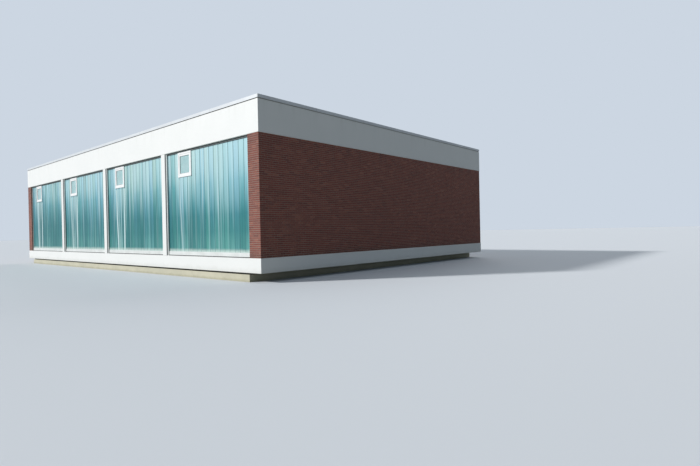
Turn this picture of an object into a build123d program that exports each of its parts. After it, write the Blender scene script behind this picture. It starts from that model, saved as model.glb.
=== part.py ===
"""Sports hall: brick end walls, four bays of upright channel glass between white posts, and a flat
roof behind a tall white fascia. Millimetres, Z up, origin on the ground at the middle of the plan.
The glazed front looks along -Y; the back repeats it with three glazed bays and one brick bay."""

import os

from build123d import *

os.makedirs("parts", exist_ok=True)

# Plan
bay_width = 6040
bay_count = 4
post_width = 340
pier_width = 660
hall_depth = 17400
wall_thickness = 300
brick_setback = 15

# Levels of the outside, from the ground up
plinth_height = 340
band_height = 550
wall_height = 4530
fascia_height = 1235
coping_height = 125

# Plinth, edge beam and floor
plinth_setback = 60
plinth_end_setback = 760
plinth_gap_height = 65
plinth_gap_depth = 80
arris = 12
nib_depth = 100
nib_height = 100
slab_thickness = 250
floor_thickness = 60

# Glazing rails
rail_setback = 75
rail_depth = 110
rail_lip = 20
rail_back_lip = 15
rail_web = 15
jamb_face = 80
jamb_cover_setback = 45
sill_height = 190
sill_gap_height = 30
sill_gap_depth = 40
sill_weather_fall = 8
head_height = 70
groove_depth = 30

# Channel glass planks
planks_in_bay = 18
plank_joint = 3
plank_end_gap = 23
plank_setback = 105
plank_flange = 60
plank_glass = 7

# Small windows, each in place of some of the planks
window_first_plank = 3
window_plank_count = 3
window_height = 1060
window_cover_lap = 30
window_body_gap = 3
window_body_depth = 60
frame_face = 75
sash_face = 80
sash_setback = 8
sash_depth = 60
pane_lap = 15
pane_setback = 22
pane_thickness = 24

# Doorway in the brick bay of the back
door_width = 2000
door_height = 2100
door_frame_face = 50
door_frame_proud = 10

# Fascia and coping
fascia_thickness = 150
lintel_height = 240
reveal_height = 35
reveal_depth = 30
cap_sheet = 8
cap_overhang = 4
cap_inner_overhang = 45
cap_fall = 10
cap_inner_leg = 75

# Roof
girder_depth = 600
girder_flange_width = 280
girder_flange = 22
girder_web = 12
stiffener = 12
stiffener_count = 5
deck_pitch = 310
deck_rib_depth = 135
deck_crest = 110
deck_slope_run = 45
deck_sheet = 8
covering_edge = 85
covering_ridge = 165
upstand_thickness = 30
upstand_rise = 85
sump_width = 500
sump_depth = 20
sump_inset = 600
outlet_flange_radius = 150
outlet_flange_thickness = 6
outlet_foot_radius = 90
outlet_crown_radius = 66
outlet_height = 120
outlet_wall = 6
outlet_slot_count = 12
outlet_slot_width = 16
outlet_slot_height = 70

# Lines worked out from the sizes above
hall_length = 2 * pier_width + bay_count * bay_width + (bay_count - 1) * post_width
half_length = hall_length / 2
half_depth = hall_depth / 2
band_top = plinth_height + band_height
fascia_bottom = band_top + wall_height
coping_bottom = fascia_bottom + fascia_height
coping_top = coping_bottom + coping_height
floor_level = band_top
slab_top = floor_level - floor_thickness
slab_bottom = slab_top - slab_thickness
plinth_thickness = wall_thickness + nib_depth - plinth_setback
lintel_top = fascia_bottom + lintel_height
girder_top = lintel_top + girder_depth
deck_top = girder_top + deck_rib_depth
sill_top = band_top + sill_height
head_bottom = fascia_bottom - head_height
plank_foot = sill_top - groove_depth
plank_head = head_bottom + groove_depth
plank_pitch = (bay_width - 2 * plank_end_gap) / planks_in_bay
window_top = head_bottom
window_bottom = window_top - window_height
short_plank_head = window_bottom + window_cover_lap
window_hole = window_plank_count * plank_pitch
window_width = window_hole + 2 * window_cover_lap
cap_slope = cap_fall / fascia_thickness
ridge_level = deck_top + covering_ridge
upstand_top = ridge_level + upstand_rise
sump_level = deck_top + covering_edge - sump_depth

# Signs of the two long walls, which look along -Y and +Y
FRONT = -1
BACK = 1
glazed_bays = [(FRONT, bay) for bay in range(bay_count)] + [(BACK, bay) for bay in range(bay_count - 1)]
brick_bay = bay_count - 1
outlet_places = [(x, side) for x in (-half_length / 2, half_length / 2) for side in (FRONT, BACK)]


def bay_start(bay):
    return -half_length + pier_width + bay * (bay_width + post_width)


def bay_middle(bay):
    return bay_start(bay) + bay_width / 2


def post_middle(post):
    return bay_start(post) + bay_width + post_width / 2


def wall_y(side, inward):
    """The Y of a line a given distance in from a long wall's outer face."""
    return side * (half_depth - inward)


def face_plane(side, inward):
    """An upright plane parallel to a long wall; its X runs along the hall and its Y is up."""
    return Plane(origin=(0, wall_y(side, inward), 0), x_dir=(1, 0, 0), z_dir=(0, -1, 0))


def keep_part(builder, name):
    builder.part.label = name
    export_step(builder.part, f"parts/{name}.step")


def block(low, high):
    """A plain upright block between two opposite corners, added to the open part."""
    middle = [(a + b) / 2 for a, b in zip(low, high)]
    size = [abs(b - a) for a, b in zip(low, high)]
    with Locations(tuple(middle)):
        Box(*size)


def wall_section_plane(side, along=0):
    """A section plane across a long wall: its X points inwards from the outer face, its Y is up."""
    return Plane(origin=(along, wall_y(side, 0), 0), x_dir=(0, -side, 0), z_dir=(-side, 0, 0))


# Perimeter members are runs of one section with mitred ends. Each side gives the middle of its
# outer face, the inward direction, the direction of the run and the length along that face.
perimeter = {
    "front": ((0, -half_depth, 0), (0, 1, 0), (1, 0, 0), hall_length),
    "back": ((0, half_depth, 0), (0, -1, 0), (-1, 0, 0), hall_length),
    "left": ((-half_length, 0, 0), (1, 0, 0), (0, -1, 0), hall_depth),
    "right": ((half_length, 0, 0), (-1, 0, 0), (0, 1, 0), hall_depth),
}


def perimeter_run(name, section):
    """The four mitred runs of a perimeter member. The section holds (inward, height) points."""
    reach = max(abs(inward) for inward, height in section)
    for side_name, (origin, inward, along, length) in perimeter.items():
        with BuildPart() as run:
            with BuildSketch(Plane(origin=origin, x_dir=inward, z_dir=along)):
                with BuildLine():
                    Polyline(*section, close=True)
                make_face()
            extrude(amount=length / 2 + reach, both=True)
            for end in (1, -1):
                corner = Vector(*origin) + Vector(*along) * (end * length / 2)
                outwards = Vector(*inward) + Vector(*along) * end
                split(bisect_by=Plane(origin=corner, z_dir=outwards), keep=Keep.BOTTOM)
        keep_part(run, f"{name}_{side_name}")


def make_plinth():
    """Foundation walls: set a little back along the fronts, with a shadow gap under the band, and
    far back under the two ends."""
    reach = half_length - plinth_end_setback
    inner = plinth_setback + plinth_thickness
    gap_foot = plinth_height - plinth_gap_height
    gap_back = plinth_setback + plinth_gap_depth
    section = [
        (plinth_setback, 0),
        (plinth_setback, gap_foot),
        (gap_back, gap_foot),
        (gap_back, plinth_height),
        (inner, plinth_height),
        (inner, 0),
    ]
    for side, name in ((FRONT, "front"), (BACK, "back")):
        with BuildPart() as wall:
            with BuildSketch(wall_section_plane(side)):
                with BuildLine():
                    Polyline(*section, close=True)
                make_face()
            extrude(amount=reach, both=True)
        keep_part(wall, f"plinth_{name}")
    for sign, name in ((-1, "left"), (1, "right")):
        with BuildPart() as wall:
            block(
                (sign * reach, wall_y(FRONT, inner), 0),
                (sign * (reach - plinth_thickness), wall_y(BACK, inner), slab_bottom),
            )
        keep_part(wall, f"plinth_{name}")


def make_base_band():
    """White edge beam round the floor, with an inner nib that carries the slab."""
    nib = wall_thickness + nib_depth
    nib_foot = slab_bottom - nib_height
    perimeter_run(
        "base_band",
        [
            (arris, plinth_height),
            (0, plinth_height + arris),
            (0, band_top - arris),
            (arris, band_top),
            (wall_thickness, band_top),
            (wall_thickness, slab_bottom),
            (nib, slab_bottom),
            (nib, nib_foot),
            (wall_thickness, nib_foot - nib_depth),
            (wall_thickness, plinth_height),
        ],
    )


def make_floor():
    reach_x = half_length - wall_thickness
    reach_y = half_depth - wall_thickness
    with BuildPart() as slab:
        block((-reach_x, -reach_y, slab_bottom), (reach_x, reach_y, slab_top))
    keep_part(slab, "floor_slab")
    with BuildPart() as floor:
        block((-reach_x, -reach_y, slab_top), (reach_x, reach_y, floor_level))
    keep_part(floor, "hall_floor")


def make_end_walls():
    outer = half_length - brick_setback
    inner = outer - wall_thickness
    reach_y = half_depth - brick_setback - wall_thickness
    for sign, name in ((-1, "left"), (1, "right")):
        with BuildPart() as wall:
            block((sign * outer, -reach_y, band_top), (sign * inner, reach_y, fascia_bottom))
        keep_part(wall, f"end_wall_{name}")


def make_corner_piers():
    """Brick returns of the end walls at the ends of the two long walls."""
    outer = half_length - brick_setback
    inner = half_length - pier_width
    with BuildPart() as piers:
        for side in (FRONT, BACK):
            for sign in (-1, 1):
                block(
                    (sign * outer, wall_y(side, brick_setback), band_top),
                    (sign * inner, wall_y(side, brick_setback + wall_thickness), fascia_bottom),
                )
    keep_part(piers, "corner_piers")


def make_posts():
    for side, name in ((FRONT, "front"), (BACK, "back")):
        with BuildPart() as posts:
            for post in range(bay_count - 1):
                left = post_middle(post) - post_width / 2
                block(
                    (left, wall_y(side, 0), band_top),
                    (left + post_width, wall_y(side, wall_thickness), fascia_bottom),
                )
            uprights = posts.edges().filter_by(Axis.Z)
            outer_edges = uprights.group_by(Axis.Y)[0 if side == FRONT else -1]
            chamfer(outer_edges, arris)
        keep_part(posts, f"{name}_posts")


def plank_section(side, start):
    """Plan of one channel of glass: its flat face outwards and its two flanges inwards."""
    left, right = start + plank_joint / 2, start + plank_pitch - plank_joint / 2
    face, tip = plank_setback, plank_setback + plank_flange
    back = face + plank_glass
    outline = [
        (left, face),
        (right, face),
        (right, tip),
        (right - plank_glass, tip),
        (right - plank_glass, back),
        (left + plank_glass, back),
        (left + plank_glass, tip),
        (left, tip),
    ]
    return [(x, wall_y(side, inward)) for x, inward in outline]


def make_channel_glass():
    """Upright planks of channel glass; those under the window stop at its frame."""
    short = range(window_first_plank, window_first_plank + window_plank_count)
    tall = [plank for plank in range(planks_in_bay) if plank not in short]
    for side, bay in glazed_bays:
        first = bay_start(bay) + plank_end_gap
        with BuildPart() as glass:
            for planks, top in ((tall, plank_head), (short, short_plank_head)):
                with BuildSketch(Plane.XY.offset(plank_foot)):
                    for plank in planks:
                        with BuildLine():
                            Polyline(*plank_section(side, first + plank * plank_pitch), close=True)
                        make_face()
                extrude(amount=top - plank_foot)
        keep_part(glass, f"{'front' if side == FRONT else 'back'}_glass_{bay + 1}")


def make_sill_rails():
    """Bottom rails: a shadow gap at the foot, a weathered front lip and a groove for the planks."""
    outer, back = rail_setback, rail_setback + rail_depth
    section = [
        (outer + sill_gap_depth, band_top),
        (outer + sill_gap_depth, band_top + sill_gap_height),
        (outer, band_top + sill_gap_height),
        (outer, sill_top - sill_weather_fall),
        (outer + rail_lip, sill_top),
        (outer + rail_lip, plank_foot),
        (back - rail_back_lip, plank_foot),
        (back - rail_back_lip, sill_top),
        (back, sill_top),
        (back, band_top),
    ]
    make_rails("sill_rails", section)


def make_head_rails():
    """Top rails under the fascia, grooved to take the heads of the planks."""
    outer, back = rail_setback, rail_setback + rail_depth
    section = [
        (outer, head_bottom),
        (outer, fascia_bottom),
        (back, fascia_bottom),
        (back, head_bottom),
        (back - rail_back_lip, head_bottom),
        (back - rail_back_lip, plank_head),
        (outer + rail_lip, plank_head),
        (outer + rail_lip, head_bottom),
    ]
    make_rails("head_rails", section)


def make_rails(name, section):
    """One horizontal rail of the given section in each glazed bay."""
    with BuildPart() as rails:
        for side, bay in glazed_bays:
            with BuildSketch(wall_section_plane(side, bay_middle(bay))):
                with BuildLine():
                    Polyline(*section, close=True)
                make_face()
            extrude(amount=bay_width / 2, both=True)
    keep_part(rails, name)


def jamb_section(side, edge, towards_bay):
    """Plan of a side rail: a channel on the post's side, open to the planks."""
    outer, back = rail_setback, rail_setback + rail_depth
    outline = [
        (0, outer),
        (jamb_face, outer),
        (jamb_face, outer + rail_lip),
        (rail_web, outer + rail_lip),
        (rail_web, back - rail_back_lip),
        (jamb_face, back - rail_back_lip),
        (jamb_face, back),
        (0, back),
    ]
    return [(edge + towards_bay * x, wall_y(side, inward)) for x, inward in outline]


def beside_post(edge):
    """Whether a bay's upright edge is a post's; the two outermost edges are the brick piers'."""
    return abs(edge) < half_length - pier_width


def make_jamb_rails():
    """Side rails: each a channel over the ends of the planks, between the bottom and top rails, and
    beside a post a flat cover in front of it that reaches from the band to the fascia."""
    with BuildPart() as rails:
        for side, bay in glazed_bays:
            edges = ((bay_start(bay), 1), (bay_start(bay) + bay_width, -1))
            with BuildSketch(Plane.XY.offset(sill_top)):
                for edge, towards_bay in edges:
                    with BuildLine():
                        Polyline(*jamb_section(side, edge, towards_bay), close=True)
                    make_face()
            extrude(amount=head_bottom - sill_top)
            for edge, towards_bay in edges:
                if beside_post(edge):
                    block(
                        (edge, wall_y(side, jamb_cover_setback), band_top),
                        (edge + towards_bay * jamb_face, wall_y(side, rail_setback), fascia_bottom),
                    )
    keep_part(rails, "jamb_rails")


def window_middle(bay):
    first = bay_start(bay) + plank_end_gap + window_first_plank * plank_pitch
    return first + window_hole / 2


def window_ring(side, bay, inward, outer, inner, depth):
    """One square ring of a window; outer and inner are (width, height) about the window's middle."""
    height = (window_bottom + window_top) / 2
    with BuildSketch(face_plane(side, inward)) as ring:
        with Locations((window_middle(bay), height)):
            Rectangle(*outer)
            Rectangle(*inner, mode=Mode.SUBTRACT)
    extrude(ring.sketch, amount=side * depth)


def make_windows():
    """Each window: a frame that laps the planks, a sash in it and a pane in the sash's rebate."""
    light = (window_width - 2 * frame_face, window_height - 2 * frame_face)
    sight = (light[0] - 2 * sash_face, light[1] - 2 * sash_face)
    glass = (sight[0] + 2 * pane_lap, sight[1] + 2 * pane_lap)
    cover_depth = plank_setback - rail_setback
    body = (window_hole - 2 * window_body_gap, window_height - 2 * window_cover_lap)
    sash_face_at = rail_setback + sash_setback
    rebate_at = sash_face_at + pane_setback
    with BuildPart() as frames:
        for side, bay in glazed_bays:
            window_ring(side, bay, rail_setback, (window_width, window_height), light, cover_depth)
            window_ring(side, bay, plank_setback, body, light, window_body_depth)
    keep_part(frames, "window_frames")
    with BuildPart() as sashes:
        for side, bay in glazed_bays:
            window_ring(side, bay, sash_face_at, light, sight, pane_setback)
            window_ring(side, bay, rebate_at, light, glass, sash_depth - pane_setback)
    keep_part(sashes, "window_sashes")
    with BuildPart() as panes:
        for side, bay in glazed_bays:
            with BuildSketch(face_plane(side, rebate_at)):
                with Locations((window_middle(bay), (window_bottom + window_top) / 2)):
                    Rectangle(*glass)
            extrude(amount=side * pane_thickness)
    keep_part(panes, "window_panes")


def make_back_brick_bay():
    """The last bay of the back, closed in brick beside and over an open doorway."""
    start, end = bay_start(brick_bay), bay_start(brick_bay) + bay_width
    outer, inner = wall_y(BACK, brick_setback), wall_y(BACK, brick_setback + wall_thickness)
    half_hole = door_width / 2 + door_frame_face
    door_left, door_right = bay_middle(brick_bay) - half_hole, bay_middle(brick_bay) + half_hole
    hole_top = floor_level + door_height + door_frame_face
    pieces = {
        "back_wall_left": ((start, outer, band_top), (door_left, inner, fascia_bottom)),
        "back_wall_right": ((door_right, outer, band_top), (end, inner, fascia_bottom)),
        "back_wall_over_door": ((door_left, outer, hole_top), (door_right, inner, fascia_bottom)),
    }
    for name, corners in pieces.items():
        with BuildPart() as wall:
            block(*corners)
        keep_part(wall, name)


def make_door_frame():
    """Lining of the doorway, standing a little proud of the wall's two faces."""
    half_clear = door_width / 2
    middle = bay_middle(brick_bay)
    depth = wall_thickness + 2 * door_frame_proud
    with BuildPart() as frame:
        with BuildSketch(face_plane(BACK, brick_setback - door_frame_proud)):
            hole_height = door_height + door_frame_face
            with Locations((middle, floor_level + hole_height / 2)):
                Rectangle(2 * (half_clear + door_frame_face), hole_height)
            with Locations((middle, floor_level + door_height / 2)):
                Rectangle(door_width, door_height, mode=Mode.SUBTRACT)
        extrude(amount=depth)
    keep_part(frame, "door_frame")


def cap_level(inward):
    """Height of the coping's sloping top above a line in from the fascia's face."""
    return coping_top - cap_slope * (inward + cap_overhang)


def make_fascia():
    """Tall white fascia: a parapet panel on a lintel that spans the bays. A thin reveal runs under
    the coping, whose outer leg hangs in front of the panel's rebated head."""
    reveal_foot = coping_bottom - reveal_height
    perimeter_run(
        "fascia",
        [
            (arris, fascia_bottom),
            (0, fascia_bottom + arris),
            (0, reveal_foot),
            (reveal_depth, reveal_foot),
            (reveal_depth, cap_level(reveal_depth) - cap_sheet),
            (fascia_thickness, cap_level(fascia_thickness) - cap_sheet),
            (fascia_thickness, lintel_top),
            (wall_thickness, lintel_top),
            (wall_thickness, fascia_bottom),
        ],
    )


def make_coping():
    """Folded metal cap that slopes inwards over the parapet, with a leg down each of its sides."""
    outer = -cap_overhang
    inner = fascia_thickness + cap_inner_overhang
    inner_foot = cap_level(inner) - cap_inner_leg
    perimeter_run(
        "coping",
        [
            (outer, coping_bottom),
            (outer, cap_level(outer)),
            (inner, cap_level(inner)),
            (inner, inner_foot),
            (inner - cap_sheet, inner_foot),
            (inner - cap_sheet, cap_level(inner - cap_sheet) - cap_sheet),
            (outer + cap_sheet, cap_level(outer + cap_sheet) - cap_sheet),
            (outer + cap_sheet, coping_bottom),
        ],
    )


def girder_lines():
    """Middles of the roof girders: one on each end wall and one at each line of posts."""
    end = half_length - fascia_thickness - girder_flange_width / 2
    return [-end] + [post_middle(post) for post in range(bay_count - 1)] + [end]


def make_girders():
    """Steel girders from front to back, with upright stiffening plates between the flanges."""
    reach = half_depth - fascia_thickness
    half_flange, half_web = girder_flange_width / 2, girder_web / 2
    lower, upper = lintel_top + girder_flange, girder_top - girder_flange
    plate_step = (2 * reach - stiffener) / (stiffener_count - 1)
    with BuildPart() as girders:
        for middle in girder_lines():
            for low, high in ((lintel_top, lower), (upper, girder_top)):
                block((middle - half_flange, -reach, low), (middle + half_flange, reach, high))
            block((middle - half_web, -reach, lower), (middle + half_web, reach, upper))
            for plate in range(stiffener_count):
                start = -reach + plate * plate_step
                block(
                    (middle - half_flange, start, lower),
                    (middle + half_flange, start + stiffener, upper),
                )
    keep_part(girders, "roof_girders")


def deck_line(lift):
    """Points across the ribbed deck, crest to trough, raised by a sheet's thickness."""
    reach = half_depth - fascia_thickness
    rib_count = int(2 * reach // deck_pitch)
    margin = (2 * reach - rib_count * deck_pitch) / 2
    trough, crest = girder_top + lift, deck_top - deck_sheet + lift
    points = [(-reach, trough)]
    for rib in range(rib_count):
        start = -reach + margin + rib * deck_pitch + (deck_pitch - deck_crest) / 2
        points += [
            (start - deck_slope_run, trough),
            (start, crest),
            (start + deck_crest, crest),
            (start + deck_crest + deck_slope_run, trough),
        ]
    return points + [(reach, trough)]


def make_roof_deck():
    """Ribbed steel deck on the girders, its ribs along the hall."""
    with BuildPart() as deck:
        with BuildSketch(Plane.YZ):
            with BuildLine():
                Polyline(*deck_line(0), *reversed(deck_line(deck_sheet)), close=True)
            make_face()
        extrude(amount=half_length - fascia_thickness, both=True)
    keep_part(deck, "roof_deck")


def make_roof_covering():
    """Covering that falls from its ridge to both long sides, with four sumps and an upstand."""
    reach_x = half_length - fascia_thickness
    reach_y = half_depth - fascia_thickness
    well = (2 * (reach_x - upstand_thickness), 2 * (reach_y - upstand_thickness))
    with BuildPart() as covering:
        with BuildSketch(Plane.YZ):
            with BuildLine():
                Polyline(
                    (-reach_y, deck_top),
                    (reach_y, deck_top),
                    (reach_y, deck_top + covering_edge),
                    (0, ridge_level),
                    (-reach_y, deck_top + covering_edge),
                    close=True,
                )
            make_face()
        extrude(amount=reach_x, both=True)
        with BuildSketch(Plane.XY.offset(deck_top)):
            Rectangle(2 * reach_x, 2 * reach_y)
            Rectangle(*well, mode=Mode.SUBTRACT)
        extrude(amount=upstand_top - deck_top)
        with BuildSketch(Plane.XY.offset(sump_level)):
            for x, side in outlet_places:
                with Locations((x, wall_y(side, fascia_thickness + sump_inset))):
                    Rectangle(sump_width, sump_width)
        extrude(amount=ridge_level - sump_level, mode=Mode.SUBTRACT)
    keep_part(covering, "roof_covering")


def make_roof_outlets():
    """Domed leaf guards over the roof's rainwater outlets, one standing in each sump."""
    with BuildPart() as outlets:
        for x, side in outlet_places:
            foot = Plane(origin=(x, wall_y(side, fascia_thickness + sump_inset), sump_level))
            with BuildSketch(foot):
                Circle(outlet_flange_radius)
                Circle(outlet_foot_radius - outlet_wall, mode=Mode.SUBTRACT)
            extrude(amount=outlet_flange_thickness)
            with BuildSketch(Plane(foot.origin, x_dir=(1, 0, 0), z_dir=(0, -1, 0))):
                with BuildLine():
                    Polyline(
                        (outlet_foot_radius - outlet_wall, 0),
                        (outlet_foot_radius, 0),
                        (outlet_crown_radius, outlet_height),
                        (0, outlet_height),
                        (0, outlet_height - outlet_wall),
                        (outlet_crown_radius - outlet_wall, outlet_height - outlet_wall),
                        close=True,
                    )
                make_face()
            revolve(axis=Axis(foot.origin, (0, 0, 1)))
            slot_middle = (outlet_height + outlet_flange_thickness) / 2
            with Locations(Plane(foot.origin)):
                with PolarLocations(outlet_foot_radius, outlet_slot_count):
                    with Locations((0, 0, slot_middle)):
                        Box(outlet_foot_radius, outlet_slot_width, outlet_slot_height, mode=Mode.SUBTRACT)
    keep_part(outlets, "roof_outlets")


make_plinth()
make_base_band()
make_floor()
make_end_walls()
make_corner_piers()
make_posts()
make_channel_glass()
make_sill_rails()
make_head_rails()
make_jamb_rails()
make_windows()
make_back_brick_bay()
make_door_frame()
make_fascia()
make_coping()
make_girders()
make_roof_deck()
make_roof_covering()
make_roof_outlets()
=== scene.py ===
"""Sports hall: brick facing, glazing seals, roofing felt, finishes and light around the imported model."""

import math

import bmesh
import bpy
from mathutils import Matrix, Vector


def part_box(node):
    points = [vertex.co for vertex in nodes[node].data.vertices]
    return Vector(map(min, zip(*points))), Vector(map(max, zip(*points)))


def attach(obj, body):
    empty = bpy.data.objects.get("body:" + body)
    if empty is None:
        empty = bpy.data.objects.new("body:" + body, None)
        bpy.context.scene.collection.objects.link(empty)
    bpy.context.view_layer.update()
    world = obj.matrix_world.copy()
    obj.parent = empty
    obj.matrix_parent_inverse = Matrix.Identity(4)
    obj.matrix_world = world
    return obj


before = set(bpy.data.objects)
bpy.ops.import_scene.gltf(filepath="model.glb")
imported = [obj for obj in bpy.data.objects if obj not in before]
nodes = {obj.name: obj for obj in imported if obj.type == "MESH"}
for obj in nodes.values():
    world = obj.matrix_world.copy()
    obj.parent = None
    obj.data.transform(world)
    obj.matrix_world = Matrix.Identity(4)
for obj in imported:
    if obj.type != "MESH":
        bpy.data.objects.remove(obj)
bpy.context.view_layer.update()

# Brickwork
brick_courses = 59
brick_joint = 0.012
brick_half_module = 0.131
brick_proud = 0.004
brick_least_proud_share = 0.75
brick_arris = 0.0015
brick_shortest = 0.03

# Glazed bays, and the slots beside them that are painted dark as painted shade, at the sizes of the
# imported pieces
front_bays = 4
back_bays = 3
planks_in_bay = 18
plank_joint = 0.003
window_first_plank = 3
window_plank_count = 3
window_sight_width = 0.749
groove_depth = 0.03
coping_slot_height = 0.035
plinth_gap_height = 0.065
soft_edge = 0.001

# Seals of the glazed bays
gasket_width = 0.009
gasket_depth = 0.006
seal_sides = 8
seal_width = 0.010
seal_depth = 0.003
bedding_height = 0.030
bedding_depth = 0.020

# Tones of the planks: each plank has its own number, which with a seed gives its tone, hue or milkiness
plank_numbers_in_bay = 40.0
tone_seed = 34.0
hue_seed = 934.0
milkiness_seed = 434.0
lime_seed_step = 3.7

# Roofing felt
felt_sheet_width = 1.0
felt_lap_width = 0.10
felt_thickness = 0.005
upstand_thickness = 0.03
roof_rise = 0.165
roof_edge_rise = 0.085

# Turns of the four sides about the upright axis, from a wall that faces the front
front_turn = 0.0
right_turn = math.pi / 2
back_turn = math.pi
left_turn = -math.pi / 2

# The view
camera_place = Vector((26.827, -19.408, 1.80))
camera_yaw = 41.0966
camera_pitch = -0.2125
camera_roll = -1.2008
camera_lens = 24.522
camera_sensor = 36.0

# Light and surroundings
sun_from_front = 38.0
sun_height = 28.0
sun_strength = 3.5
sun_softness = 5.0
back_lamp_towards = Vector((-0.25, 0.8, 0.55))
back_lamp_strength = 0.95
back_lamp_softness = 45.0
sky_colour = (0.66, 0.82, 1.0, 1.0)
sky_strength = 0.265
backdrop_colour = (204, 214, 226)
floor_size = 900.0
floor_seen_colour = (210, 213, 216)
floor_lit_colour = (120, 120, 114)

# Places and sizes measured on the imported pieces
first_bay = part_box("front_glass_1")
second_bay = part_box("front_glass_2")
glass_start = first_bay[0].x
bay_pitch = second_bay[0].x - glass_start
plank_pitch = (first_bay[1].x - glass_start + plank_joint) / planks_in_bay
glass_face = first_bay[0].y
glass_foot = first_bay[0].z
glass_head = first_bay[1].z
sill_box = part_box("sill_rails")
plank_end_gap = glass_start - sill_box[0].x
window_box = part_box("window_frames")
window_foot = window_box[0].z
pane_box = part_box("window_panes")
pane_middle = (pane_box[0].z + pane_box[1].z) / 2
window_offset = (window_first_plank + window_plank_count / 2) * plank_pitch
wall_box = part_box("corner_piers")
wall_foot = wall_box[0].z
wall_head = wall_box[1].z
course_height = (wall_head - wall_foot) / brick_courses


def paint(red, green, blue):
    """A colour written in screen values from 0 to 255, as the linear colour that a socket takes."""
    linear = []
    for part in (red, green, blue):
        level = part / 255
        linear.append(level / 12.92 if level <= 0.04045 else ((level + 0.055) / 1.055) ** 2.4)
    return (*linear, 1.0)


class Graph:
    """A node tree with short calls that add a node, fill its sockets and hand back an output."""

    def __init__(self, tree):
        self.tree = tree

    def feed(self, socket, value):
        """Links an output to a socket, or writes a plain value into it."""
        if isinstance(value, bpy.types.NodeSocket):
            self.tree.links.new(value, socket)
        elif value is not None:
            socket.default_value = value

    def node(self, kind, inputs=None, **settings):
        """A new node with its settings made and its inputs fed by name or number."""
        made = self.tree.nodes.new(kind)
        for name, value in settings.items():
            setattr(made, name, value)
        for key, value in (inputs or {}).items():
            self.feed(made.inputs[key], value)
        return made

    def out(self, kind, inputs=None, output=0, **settings):
        """One output of a new node, by name or number."""
        return self.node(kind, inputs, **settings).outputs[output]

    def math(self, operation, first, second=None, clamp=False):
        inputs = {0: first, 1: second}
        return self.out("ShaderNodeMath", inputs, operation=operation, use_clamp=clamp)

    def plus(self, first, second):
        return self.math("ADD", first, second)

    def minus(self, first, second, clamp=False):
        return self.math("SUBTRACT", first, second, clamp)

    def times(self, first, second, clamp=False):
        return self.math("MULTIPLY", first, second, clamp)

    def divide(self, first, second):
        return self.math("DIVIDE", first, second)

    def absolute(self, value):
        return self.math("ABSOLUTE", value)

    def join(self, x=0.0, y=0.0, z=0.0):
        return self.out("ShaderNodeCombineXYZ", {0: x, 1: y, 2: z})

    def split(self, vector):
        return self.node("ShaderNodeSeparateXYZ", {0: vector}).outputs

    def stretch(self, vector, scale):
        return self.out("ShaderNodeVectorMath", {0: vector, 1: scale}, operation="MULTIPLY")

    def noise(self, vector, scale, detail=3.0, roughness=0.5):
        inputs = {"Vector": vector, "Scale": scale, "Detail": detail, "Roughness": roughness}
        return self.out("ShaderNodeTexNoise", inputs)

    def fade(self, value, start, end, low=0.0, high=1.0):
        """A value that goes smoothly from low at start to high at end."""
        inputs = {"Value": value, "From Min": start, "From Max": end, "To Min": low, "To Max": high}
        return self.out("ShaderNodeMapRange", inputs, interpolation_type="SMOOTHSTEP")

    def mix(self, factor, first, second):
        """A colour between two others. The node's colour sockets share their names with others, so
        they are found by number."""
        inputs = {0: factor, 6: first, 7: second}
        return self.out("ShaderNodeMix", inputs, output=2, data_type="RGBA")

    def ramp(self, factor, stops):
        """A colour that runs through the stops, each a place from 0 to 1 and a colour."""
        made = self.node("ShaderNodeValToRGB", {0: factor})
        elements = made.color_ramp.elements
        while len(elements) < len(stops):
            elements.new(1.0)
        for element, (place, colour) in zip(elements, stops):
            element.position = place
            element.color = paint(*colour)
        return made.outputs[0]


# Effects that several materials share


def new_group(name, inputs, outputs):
    """A shader node group with named float or vector sockets, ready to be filled."""
    group = bpy.data.node_groups.new(name, "ShaderNodeTree")
    for label, kind, value in inputs:
        socket = group.interface.new_socket(label, in_out="INPUT", socket_type=f"NodeSocket{kind}")
        if value is not None:
            socket.default_value = value
    for label in outputs:
        group.interface.new_socket(label, in_out="OUTPUT", socket_type="NodeSocketFloat")
    graph = Graph(group)
    entry = graph.node("NodeGroupInput").outputs
    leave = graph.node("NodeGroupOutput").inputs
    return group, graph, entry, leave


def surface_grain_group():
    """Fine grit and broad unevenness of a mineral or painted face."""
    inputs = [("Position", "Vector", None), ("Grit Size", "Float", 0.004), ("Patch Size", "Float", 0.6)]
    group, graph, entry, leave = new_group("surface grain", inputs, ["Grit", "Patches", "Height"])
    grit_scale = graph.divide(1.0, entry["Grit Size"])
    patch_scale = graph.divide(1.0, entry["Patch Size"])
    grit = graph.noise(entry["Position"], grit_scale, detail=2.0)
    patches = graph.noise(entry["Position"], patch_scale, detail=5.0, roughness=0.6)
    graph.feed(leave["Grit"], grit)
    graph.feed(leave["Patches"], graph.fade(patches, 0.32, 0.68))
    graph.feed(leave["Height"], graph.plus(grit, graph.times(patches, 0.6)))
    return group


def rain_streaks_group():
    """Dirt that rain has washed down from an edge, in upright streaks that thin out below it."""
    inputs = [
        ("Position", "Vector", None),
        ("Edge Height", "Float", 1.0),
        ("Reach", "Float", 1.0),
        ("Streaks Per Metre", "Float", 4.0),
    ]
    group, graph, entry, leave = new_group("rain streaks", inputs, ["Mask"])
    x, y, z = graph.split(entry["Position"])
    drawn_out = graph.join(graph.plus(x, y), 0.0, graph.times(z, 0.12))
    streaks = graph.noise(drawn_out, entry["Streaks Per Metre"], detail=4.0, roughness=0.65)
    bands = graph.fade(streaks, 0.47, 0.68)
    along = graph.divide(graph.minus(entry["Edge Height"], z), entry["Reach"])
    below = graph.math("GREATER_THAN", along, 0.0)
    left = graph.minus(1.0, along, clamp=True)
    strength = graph.times(graph.times(left, left), below)
    graph.feed(leave["Mask"], graph.times(bands, strength))
    return group


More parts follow.
